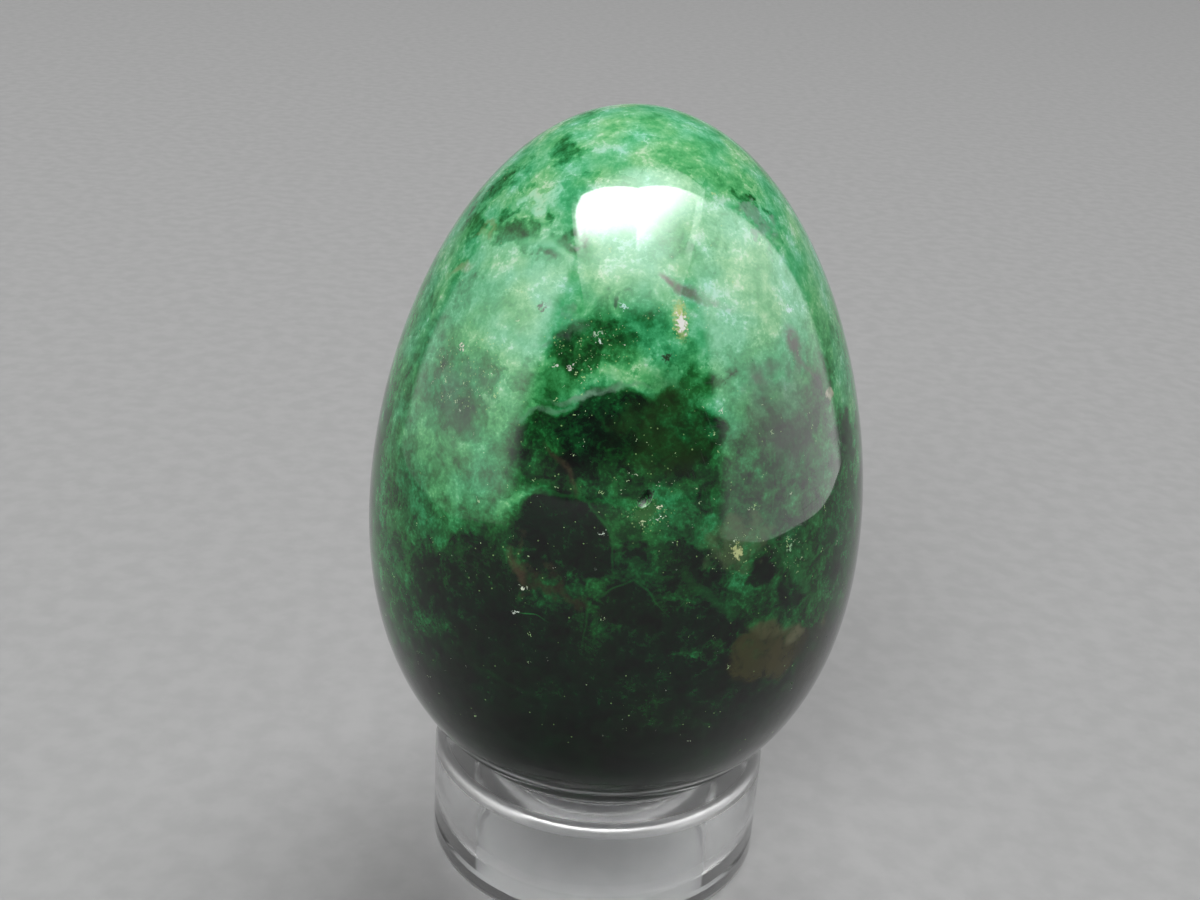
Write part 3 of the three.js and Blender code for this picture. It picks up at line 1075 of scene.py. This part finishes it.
@dataclass(frozen=True)
class ClearAcrylic:
    """Clear acrylic, polished on its wall and duller on its turned edges.

    Attributes:
        tint: What passes through it, nearly all.
        index: The index of refraction.
        roughness: Of the wall.
        worn_roughness: Of scratches and dust.
        edge_roughness: Of the rounded edges.
        face_roughness: Of the top face.
        edge_shine: The roughness of the shine on the rounded edges.
        edge_shine_index: How strong that shine is.
        relief: The height of the wall's ripple.
        shade_passed: How much light passes into its shadow.
    """

    tint: Colour = (0.97, 0.98, 0.98)
    index: float = 1.49
    roughness: float = 0.035
    worn_roughness: float = 0.10
    edge_roughness: float = 0.45
    face_roughness: float = 0.20
    edge_shine: float = 0.26
    edge_shine_index: float = 2.2
    relief: float = 0.02 * MM
    shade_passed: float = 0.75

    def material(self, effects: Effects, outer: float, foot_to_rim: float,
                 rim_round: float) -> bpy.types.Material:
        """Builds the acrylic.

        Args:
            effects: The shared node groups.
            outer: The ring's outside radius.
            foot_to_rim: The ring's height.
            rim_round: The radius of its rounded edges.

        Returns:
            The material.
        """
        material, sheet, place = new_finish("clear_acrylic", Vector((0, 0, foot_to_rim / 2)))
        scratches = sheet.group(effects.scuffs, Place=place, Length=9.0, Width=0.004)
        dust = sheet.group(effects.specks, Place=place, Scale=2.2, Amount=0.10, Size=0.12)
        marks = sheet.math("MAXIMUM", scratches.outputs["Mask"], dust.outputs["Mask"])
        cloud = sheet.noise(place, 0.4, 3.0)
        haze = sheet.ease(cloud, 0.35, 0.75, 0.0, 0.05)
        rough = sheet.math("ADD", sheet.mix(marks, self.roughness, self.worn_roughness, colour=False), haze)
        reach = sheet.vector("LENGTH", sheet.vector("MULTIPLY", place, (1.0, 1.0, 0.0)))
        level = sheet.split(place)[2]
        half, edge = foot_to_rim / 2 / MM, rim_round / MM
        on_face = sheet.ease(level, half - 0.15, half - 0.05)
        rough = sheet.mix(on_face, rough, self.face_roughness, colour=False)
        outside = sheet.ease(reach, outer / MM - edge - 0.1, outer / MM - edge + 0.15)
        rounded = sheet.ease(sheet.math("ABSOLUTE", level), half - edge - 0.1, half - edge + 0.1)
        sanded = sheet.math("MULTIPLY", sheet.math("MULTIPLY", outside, rounded),
                            sheet.ease(cloud, 0.2, 0.6, 0.7, 1.0))
        rough = sheet.mix(sanded, rough, self.edge_roughness, colour=False)
        ripple = sheet.math("MULTIPLY", sheet.noise(place, 0.5, 1.0), 0.7)
        bump = sheet.add("ShaderNodeBump")
        bump.inputs["Distance"].default_value = self.relief
        sheet.feed(bump.inputs["Height"], ripple)
        clear = sheet.add("ShaderNodeBsdfPrincipled")
        sheet.feed(clear.inputs["Base Color"], self.tint)
        clear.inputs["Transmission Weight"].default_value = 1.0
        clear.inputs["IOR"].default_value = self.index
        sheet.feed(clear.inputs["Roughness"], rough)
        sheet.feed(clear.inputs["Coat Weight"], sanded)
        clear.inputs["Coat Roughness"].default_value = self.edge_shine
        clear.inputs["Coat IOR"].default_value = self.edge_shine_index
        sheet.feed(clear.inputs["Normal"], bump.outputs[0])
        passed = sheet.add("ShaderNodeBsdfTransparent")
        sheet.feed(passed.inputs["Color"], (self.shade_passed,) * 3)
        choice = sheet.add("ShaderNodeMixShader")
        sheet.feed(choice.inputs[0], sheet.add("ShaderNodeLightPath").outputs["Is Shadow Ray"])
        sheet.feed(choice.inputs[1], clear.outputs[0])
        sheet.feed(choice.inputs[2], passed.outputs[0])
        sheet.end("ShaderNodeOutputMaterial", choice)
        return material


class Bench:
    """The modelling operators, with everything deselected before a piece is begun."""

    @staticmethod
    def clear_selection() -> None:
        """Deselects every object."""
        bpy.ops.object.select_all(action="DESELECT")

    @classmethod
    def hold(cls, piece: bpy.types.Object) -> None:
        """Makes a piece the only selected one."""
        cls.clear_selection()
        piece.select_set(True)
        bpy.context.view_layer.objects.active = piece

    @classmethod
    def new_piece(cls, name: str) -> bpy.types.Object:
        """Names the primitive that was just added, and brings its place into its mesh.

        Args:
            name: The piece's name.

        Returns:
            The piece.
        """
        piece = bpy.context.active_object
        piece.name = name
        piece.data.name = name
        bpy.ops.object.transform_apply(location=True, rotation=True, scale=True)
        return piece

    @staticmethod
    def pick(piece: bpy.types.Object, wanted: Callable[[Vector], bool]) -> None:
        """In edit mode, selects the vertices that a test wants, and the edges and faces between them.

        Args:
            piece: The piece in edit mode.
            wanted: True for a vertex to select.
        """
        bpy.ops.mesh.select_mode(type="VERT")
        bpy.ops.mesh.select_all(action="DESELECT")
        bpy.ops.object.mode_set(mode="OBJECT")
        for vertex in piece.data.vertices:
            vertex.select = wanted(vertex.co)
        bpy.ops.object.mode_set(mode="EDIT")

    @staticmethod
    def spin_round(steps: int, weld: float) -> None:
        """In edit mode, turns the selected profile once round the Z axis and closes it.

        Args:
            steps: How many steps the turn has.
            weld: The distance within which points are merged.
        """
        bpy.ops.mesh.spin(steps=steps, angle=math.tau, center=(0, 0, 0), axis=(0, 0, 1))
        bpy.ops.mesh.select_all(action="SELECT")
        bpy.ops.mesh.remove_doubles(threshold=weld)
        bpy.ops.mesh.normals_make_consistent(inside=False)


@dataclass
class StoneEgg:
    """The egg: turned from its outline, with a small dark pit in its front.

    Attributes:
        outline: Its outline.
        around: Facets round the axis.
        along: Facets from the blunt end to the tip.
        pit_round_from_front: Where the pit is, in degrees to the right of the front.
        pit_height: Its height above the floor.
        pit_radius: How far its hollow reaches along its length.
        pit_narrowing: Its width as a share of its length.
        pit_lean: How far its length leans to the right, in degrees.
        pit_depth: How deep it is.
        pit_margin: How far round it the surface is divided, as a share of its radius.
        pit_refinements: How often the surface is divided there.
        closer: How much nearer to it each division stays.
        pit_wobble: How uneven its bottom is, as a share of its depth.
        smooth_up_to: The sharpest edge that is shaded smooth, in degrees.
        weld: The distance within which points are merged.
        piece: The finished egg.
    """

    outline: EggOutline
    around: int = 240
    along: int = 150
    pit_round_from_front: float = PIT_ROUND
    pit_height: float = PIT_LEVEL * MM
    pit_radius: float = 0.80 * MM
    pit_narrowing: float = 0.55
    pit_lean: float = 30.0
    pit_depth: float = 0.45 * MM
    pit_margin: float = 2.2
    pit_refinements: int = 3
    closer: float = 0.8
    pit_wobble: float = 0.25
    smooth_up_to: float = 40.0
    weld: float = 1e-6
    piece: Optional[bpy.types.Object] = field(default=None, init=False)

    def build(self) -> bpy.types.Object:
        """Models the egg.

        Returns:
            The piece.
        """
        Bench.clear_selection()
        bpy.ops.mesh.primitive_circle_add(vertices=2 * self.along, radius=1.0, rotation=(math.pi / 2, 0, 0))
        piece = Bench.new_piece("egg_polished_stone")
        bpy.ops.object.mode_set(mode="EDIT")
        Bench.pick(piece, lambda at: at.x < -NUDGE)
        bpy.ops.mesh.delete(type="VERT")
        bpy.ops.object.mode_set(mode="OBJECT")
        for vertex in piece.data.vertices:
            angle = math.acos(min(max(-vertex.co.z, -1.0), 1.0))
            radius, level = self.outline.at(angle)
            vertex.co = (max(radius, 0.0), 0.0, level)
        bpy.ops.object.mode_set(mode="EDIT")
        bpy.ops.mesh.select_all(action="SELECT")
        Bench.spin_round(self.around, self.weld)
        self._hollow_pit(piece)
        bpy.ops.object.mode_set(mode="OBJECT")
        bpy.ops.object.shade_smooth_by_angle(angle=math.radians(self.smooth_up_to))
        self.piece = piece
        return piece

    def _hollow_pit(self, piece: bpy.types.Object) -> None:
        """In edit mode, refines the surface at the pit and sinks it.

        Args:
            piece: The egg in edit mode.
        """
        local = self.outline.frame_at(self.pit_round_from_front, self.pit_height)
        inverse = local.inverted()
        reach = self.pit_margin * self.pit_radius
        for _ in range(self.pit_refinements):
            Bench.pick(piece, lambda at: (at - local.translation).length < reach)
            bpy.ops.mesh.subdivide(number_cuts=1)
            reach *= self.closer
        bpy.ops.object.mode_set(mode="OBJECT")
        out = local.to_3x3().col[2]
        lean = Matrix.Rotation(math.radians(self.pit_lean), 3, "Z")
        for vertex in piece.data.vertices:
            near = lean @ (inverse @ vertex.co)
            share = math.hypot(near.x / self.pit_narrowing, near.y) / self.pit_radius
            if share < 1 and abs(near.z) < self.pit_radius:
                wobble = self.pit_wobble * math.sin(near.x / MM * 9 + 1) * math.cos(near.y / MM * 7)
                vertex.co -= out * self.pit_depth * (1 - share ** 2) ** 2 * (1 + wobble)
        bpy.ops.object.mode_set(mode="EDIT")

    def dress(self, stone: bpy.types.Material) -> None:
        """Gives the egg its stone, and lets it ride on its body in the frame.

        Args:
            stone: The stone's material.
        """
        self.piece.data.materials.clear()
        self.piece.data.materials.append(stone)
        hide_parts("stone_egg")
        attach(self.piece, Body.EGG.value)
        LOG.info("%s: %d faces", self.piece.name, len(self.piece.data.polygons))


@dataclass
class RingStand:
    """The ring: a slice of thick clear tube with rounded edges and a conical seat.

    Attributes:
        outer: The outside radius.
        height: From its foot to its rim.
        seat_slope: How steeply the seat rises outwards.
        bore: The bore's radius.
        seat_width: Across the seat, measured flat.
        rim_round: The radius of its outer edges.
        bore_edge: The broken edge at the bottom of the bore.
        around: Facets round the axis.
        rim_steps: Facets across each rounded edge.
        long_run: The shortest straight run of the section that is divided.
        run_cuts: How many cuts divide it.
        smooth_up_to: The sharpest edge that is shaded smooth, in degrees.
        weld: The distance within which points are merged.
        piece: The finished ring.
    """

    outer: float
    height: float
    seat_slope: float
    bore: float = 9.25 * MM
    seat_width: float = 0.6 * MM
    rim_round: float = 0.8 * MM
    bore_edge: float = 0.3 * MM
    around: int = 180
    rim_steps: int = 10
    long_run: float = 0.5 * MM
    run_cuts: int = 7
    smooth_up_to: float = 25.0
    weld: float = 1e-6
    piece: Optional[bpy.types.Object] = field(default=None, init=False)

    def build(self) -> bpy.types.Object:
        """Models the ring.

        Returns:
            The piece.
        """
        Bench.clear_selection()
        wall = self.outer - self.bore
        bpy.ops.mesh.primitive_plane_add(size=1.0, rotation=(math.pi / 2, 0, 0),
                                         location=(self.bore + wall / 2, 0, self.height / 2))
        bpy.context.active_object.scale = (wall, self.height, 1.0)
        piece = Bench.new_piece("ring_clear_acrylic")
        bpy.ops.object.mode_set(mode="EDIT")
        self._cut(piece, (self.bore, 0, self.height - self.seat_width * self.seat_slope),
                  (-self.seat_slope, 0, 1))
        self._cut(piece, (self.bore + self.bore_edge, 0, 0), (-1, 0, -1))
        for level in (0.0, self.height):
            Bench.pick(piece, lambda at: at.x > self.outer - self.weld and abs(at.z - level) < self.weld)
            bpy.ops.mesh.bevel(offset=self.rim_round, segments=self.rim_steps, affect="VERTICES")
        bpy.ops.mesh.select_all(action="SELECT")
        bpy.ops.mesh.delete(type="ONLY_FACE")
        self._split_long_edges(piece)
        bpy.ops.mesh.select_all(action="SELECT")
        Bench.spin_round(self.around, self.weld)
        bpy.ops.object.mode_set(mode="OBJECT")
        bpy.ops.object.shade_smooth_by_angle(angle=math.radians(self.smooth_up_to))
        self.piece = piece
        return piece

    @staticmethod
    def _cut(piece: bpy.types.Object, on: Sequence[float], away: Sequence[float]) -> None:
        """In edit mode, cuts the section along a line and drops what lies beyond it.

        Args:
            piece: The section in edit mode; not used.
            on: A point on the line.
            away: The direction of what is dropped.
        """
        bpy.ops.mesh.select_all(action="SELECT")
        bpy.ops.mesh.bisect(plane_co=on, plane_no=away, clear_outer=True)

    def _split_long_edges(self, piece: bpy.types.Object) -> None:
        """In edit mode, divides the section's straight runs, so that they stay flat when shaded smooth.

        Args:
            piece: The section in edit mode.
        """
        bpy.ops.mesh.select_mode(type="EDGE")
        bpy.ops.mesh.select_all(action="DESELECT")
        bpy.ops.object.mode_set(mode="OBJECT")
        points = piece.data.vertices
        for edge in piece.data.edges:
            a, b = (points[i].co for i in edge.vertices)
            edge.select = (a - b).length > self.long_run
        bpy.ops.object.mode_set(mode="EDIT")
        bpy.ops.mesh.subdivide(number_cuts=self.run_cuts)
        bpy.ops.mesh.select_mode(type="VERT")

    def dress(self, acrylic: bpy.types.Material) -> None:
        """Gives the ring its acrylic, and lets it ride on its body in the frame.

        Args:
            acrylic: The acrylic's material.
        """
        self.piece.data.materials.clear()
        self.piece.data.materials.append(acrylic)
        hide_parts("ring_stand")
        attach(self.piece, Body.STAND.value)
        LOG.info("%s: %d faces", self.piece.name, len(self.piece.data.polygons))


class Gives(Enum):
    """What a lamp does: it only lights what it falls on, or it is only seen in what is polished."""

    LIGHT = "light"
    REFLECTION = "reflection"


@dataclass(frozen=True)
class Fade:
    """A soft change of brightness across a panel, as a flag or a second sheet of paper makes it.

    Attributes:
        bright: Where it starts, at full brightness.
        dim: Where it ends.
        share: How much brightness is left there and beyond.
    """

    bright: tuple[float, float, float]
    dim: tuple[float, float, float]
    share: float = 0.0


@dataclass(frozen=True)
class SoftPanel:
    """A white panel with soft edges.

    Attributes:
        name: Its name.
        centre: Where its middle is.
        facing: What it faces.
        width: Its width.
        height: Its height.
        radiance: How bright it looks at its brightest, where 1 is white.
        gives: Whether it lights the object or is mirrored in it.
        fades: Where and how it dims.
    """

    name: str
    centre: tuple[float, float, float]
    facing: tuple[float, float, float]
    width: float
    height: float
    radiance: float
    gives: Gives = Gives.REFLECTION
    fades: tuple[Fade, ...] = ()

    def hang(self) -> bpy.types.Object:
        """Puts the panel up.

        Returns:
            The lamp.
        """
        away = Vector(self.centre) - Vector(self.facing)
        stand = Matrix.Translation(self.centre) @ away.to_track_quat("Z", "Y").to_matrix().to_4x4()
        lamp = bpy.data.lights.new(self.name, "AREA")
        lamp.shape = "RECTANGLE"
        lamp.size = self.width
        lamp.size_y = self.height
        lamp.energy = math.pi * self.width * self.height * self.radiance
        lamp.use_nodes = True
        self._paint(NodeSheet(lamp.node_tree), stand.inverted())
        panel = bpy.data.objects.new(self.name, lamp)
        bpy.context.scene.collection.objects.link(panel)
        panel.matrix_world = stand
        mirrored = self.gives is Gives.REFLECTION
        panel.visible_diffuse = not mirrored
        panel.visible_glossy = mirrored
        panel.visible_transmission = mirrored
        return panel

    def _paint(self, sheet: NodeSheet, to_panel: Matrix) -> None:
        """Lays the fades over the panel's glow.

        Args:
            sheet: The lamp's sheet.
            to_panel: Takes a place in the studio to the panel's own frame.
        """
        share = sheet.add("ShaderNodeNewGeometry").outputs["Parametric"]
        own = sheet.vector("MULTIPLY", sheet.vector("SUBTRACT", share, (0.5, 0.5, 0.0)),
                           (self.width, self.height, 0.0))
        strength: Feed = 1.0
        for fade in self.fades:
            start, end = to_panel @ Vector(fade.bright), to_panel @ Vector(fade.dim)
            run = end - start
            along = sheet.vector("DOT_PRODUCT", sheet.vector("SUBTRACT", own, tuple(start)),
                                 tuple(run / run.length_squared))
            strength = sheet.math("MULTIPLY", strength, sheet.ease(along, 0.0, 1.0, 1.0, fade.share))
        glow = sheet.add("ShaderNodeEmission")
        sheet.feed(glow.inputs["Strength"], strength)
        sheet.end("ShaderNodeOutputLight", glow)


@dataclass
class Studio:
    """The pale floor, the plain light and the camera at the photograph's viewing angle.

    Attributes:
        floor_colour: The floor's colour.
        floor_roughness: Of its paper.
        floor_size: The floor's length and width.
        air_overhead: How bright the air is above the haze.
        air_at_horizon: How bright it is at the horizon.
        haze_height: How high the haze reaches, as the height of a unit vector.
        sun_strength: How strong the high soft light is.
        sun_spread: How wide it is, in degrees.
        sun_from: The direction that it comes from.
        panels: The panels that light the object or are mirrored in it.
        camera_place: Where the camera is.
        camera_pitch: How far it looks down, in degrees.
        camera_roll: How far it leans, in degrees.
        camera_lens: Its focal length, in millimetres.
        camera_sensor: Its sensor's width, in millimetres.
        camera_near: The nearest that it sees.
    """

    floor_colour: Colour = (0.42, 0.42, 0.42)
    floor_roughness: float = 0.9
    floor_size: float = 8.0
    air_overhead: float = 0.12
    air_at_horizon: float = 0.40
    haze_height: float = 0.16
    sun_strength: float = 1.9
    sun_spread: float = 50.0
    sun_from: tuple[float, float, float] = (0.25, 0.6, 1.1)
    panels: tuple[SoftPanel, ...] = (
        SoftPanel("wall_left", (-0.15, -0.03, 0.15), (0.0, -0.03, 0.15), 0.3, 0.3, 5.5, fades=(
            Fade((-0.15, -0.03, 0.17), (-0.15, -0.03, 0.04), 0.38),
            Fade((-0.15, -0.03, 0.035), (-0.15, -0.03, 0.0), 0.25),
            Fade((-0.15, -0.12, 0.1), (-0.15, 0.03, 0.1), 0.6),
            Fade((-0.15, -0.115, 0.1), (-0.15, -0.165, 0.1)),
            Fade((-0.15, 0.055, 0.1), (-0.15, 0.075, 0.1)),
            Fade((-0.15, -0.02, 0.095), (-0.15, 0.045, 0.165)),
        )),
        SoftPanel("wall_right", (0.15, -0.03, 0.15), (0.0, -0.03, 0.15), 0.3, 0.3, 5.6, fades=(
            Fade((0.15, -0.03, 0.17), (0.15, -0.03, 0.05), 0.34),
            Fade((0.15, 0.02, 0.1), (0.15, -0.13, 0.1), 0.68),
            Fade((0.15, -0.125, 0.1), (0.15, -0.168, 0.1)),
            Fade((0.15, 0.06, 0.1), (0.15, 0.08, 0.1)),
            Fade((0.15, 0.05, 0.117), (0.15, 0.06, 0.121)),
        )),
        SoftPanel("ceiling", (0.0, -0.195, 0.3), (0.0, -0.195, 0.0), 0.34, 0.45, 10.5, fades=(
            Fade((0.0, -0.14, 0.3), (0.0, -0.36, 0.3)),
            Fade((0.0, -0.035, 0.3), (-0.016, 0.022, 0.3)),
            Fade((0.06, -0.1, 0.3), (0.16, -0.1, 0.3), 0.4),
            Fade((-0.07, -0.1, 0.3), (-0.15, -0.1, 0.3), 0.5),
        )),
        SoftPanel("glow_left", (-0.085, -0.085, 0.297), (-0.085, -0.085, 0.0), 0.18, 0.18, 28.0, fades=(
            Fade((-0.0625, -0.0412, 0.3), (-0.0618, -0.0362, 0.3)),
            Fade((-0.143, -0.05, 0.3), (-0.153, -0.042, 0.3)),
            Fade((-0.15, -0.085, 0.3), (-0.163, -0.085, 0.3)),
            Fade((-0.1, -0.085, 0.3), (-0.1, -0.165, 0.3)),
        )),
        SoftPanel("glow_right", (0.0925, -0.08, 0.297), (0.0925, -0.08, 0.0), 0.175, 0.19, 28.0, fades=(
            Fade((0.081, -0.027, 0.3), (0.0797, -0.0222, 0.3)),
            Fade((0.02, -0.085, 0.3), (0.17, -0.085, 0.3), 0.35),
            Fade((0.15, -0.085, 0.3), (0.178, -0.085, 0.3)),
            Fade((0.08, -0.039, 0.3), (0.13, -0.101, 0.3)),
        )),
        SoftPanel("fill", (-0.3, -1.0, 0.9), (0.0, 0.0, 0.02), 0.8, 0.8, 5.0, Gives.LIGHT),
    )
    camera_place: tuple[float, float, float] = (-0.00137, -0.09913, 0.07529)
    camera_pitch: float = 23.29
    camera_roll: float = 3.76
    camera_lens: float = 45.0
    camera_sensor: float = 36.0
    camera_near: float = 0.005

    def lay_floor(self) -> bpy.types.Object:
        """Lays the floor under the object.

        Returns:
            The floor.
        """
        Bench.clear_selection()
        bpy.ops.mesh.primitive_plane_add(size=self.floor_size)
        floor = Bench.new_piece("studio_floor")
        material = bpy.data.materials.new("pale_paper")
        material.use_nodes = True
        sheet = NodeSheet(material.node_tree)
        place = sheet.add("ShaderNodeTexCoord").outputs["Object"]
        grain = sheet.noise(place, 400.0, 3.0)
        colour = sheet.mix(sheet.ease(grain, 0.3, 0.7, 0.0, 0.06), self.floor_colour, (1.0, 1.0, 1.0))
        paper = sheet.add("ShaderNodeBsdfPrincipled")
        sheet.feed(paper.inputs["Base Color"], colour)
        paper.inputs["Roughness"].default_value = self.floor_roughness
        paper.inputs["Specular IOR Level"].default_value = 0.0
        sheet.end("ShaderNodeOutputMaterial", paper)
        floor.data.materials.append(material)
        return floor

    def light(self) -> None:
        """Hangs the panels, sets the high soft light and fills the air."""
        for panel in self.panels:
            panel.hang()
        sun = bpy.data.lights.new("high_soft_light", "SUN")
        sun.energy = self.sun_strength
        sun.angle = math.radians(self.sun_spread)
        high = bpy.data.objects.new("high_soft_light", sun)
        bpy.context.scene.collection.objects.link(high)
        high.matrix_world = Vector(self.sun_from).to_track_quat("Z", "Y").to_matrix().to_4x4()
        high.visible_glossy = False
        high.visible_transmission = False
        world = bpy.data.worlds.new("studio_air")
        world.use_nodes = True
        bpy.context.scene.world = world
        sheet = NodeSheet(world.node_tree)
        direction = sheet.add("ShaderNodeTexCoord").outputs["Generated"]
        rise = sheet.split(direction)[2]
        background = sheet.add("ShaderNodeBackground")
        sheet.feed(background.inputs["Color"], (1.0, 1.0, 1.0))
        sheet.feed(background.inputs["Strength"],
                   sheet.ease(rise, 0.02, self.haze_height, self.air_at_horizon, self.air_overhead))
        sheet.end("ShaderNodeOutputWorld", background)

    def set_camera(self) -> bpy.types.Object:
        """Stands the camera where the photograph was taken from.

        Returns:
            The camera.
        """
        lens = bpy.data.cameras.new("photo_camera")
        lens.lens = self.camera_lens
        lens.sensor_width = self.camera_sensor
        lens.clip_start = self.camera_near
        camera = bpy.data.objects.new("photo_camera", lens)
        bpy.context.scene.collection.objects.link(camera)
        tilt = Euler((math.radians(90 - self.camera_pitch), 0, 0)).to_matrix()
        roll = Matrix.Rotation(math.radians(self.camera_roll), 3, "Z")
        camera.matrix_world = Matrix.Translation(self.camera_place) @ (tilt @ roll).to_4x4()
        bpy.context.scene.camera = camera
        return camera


def rest_circle_slope(outline: EggOutline, radius: float) -> float:
    """How steeply the egg rises outwards where it touches a circle.

    Args:
        outline: The egg's outline.
        radius: The circle's radius.

    Returns:
        Rise over run.
    """
    low, high = 0.0, math.pi / 3
    for _ in range(HALVINGS):
        middle = (low + high) / 2
        if outline.at(middle)[0] < radius:
            low = middle
        else:
            high = middle
    (r0, z0), (r1, z1) = outline.at(low - NUDGE), outline.at(low + NUDGE)
    return (z1 - z0) / (r1 - r0)


def main() -> None:
    """Builds the scene."""
    logging.basicConfig(level=logging.INFO, format="%(name)s %(message)s")
    bpy.context.scene.view_settings.view_transform = "Standard"
    studio = Studio()
    studio.set_camera()
    effects = Effects()
    egg_low, egg_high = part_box("stone_egg")
    outline = EggOutline(height=egg_high.z - egg_low.z, diameter=egg_high.x - egg_low.x, bottom=egg_low.z)
    egg = StoneEgg(outline)
    egg.build()
    egg.dress(PolishedStone().material(effects, outline))
    ring_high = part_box("ring_stand")[1]
    bore, seat = RingStand.bore, RingStand.seat_width
    slope = rest_circle_slope(outline, bore + seat / 2)
    ring = RingStand(outer=ring_high.x, height=ring_high.z, seat_slope=slope)
    ring.build()
    ring.dress(ClearAcrylic().material(effects, ring.outer, ring.height, ring.rim_round))
    studio.lay_floor()
    studio.light()


if __name__ == "__main__":
    main()
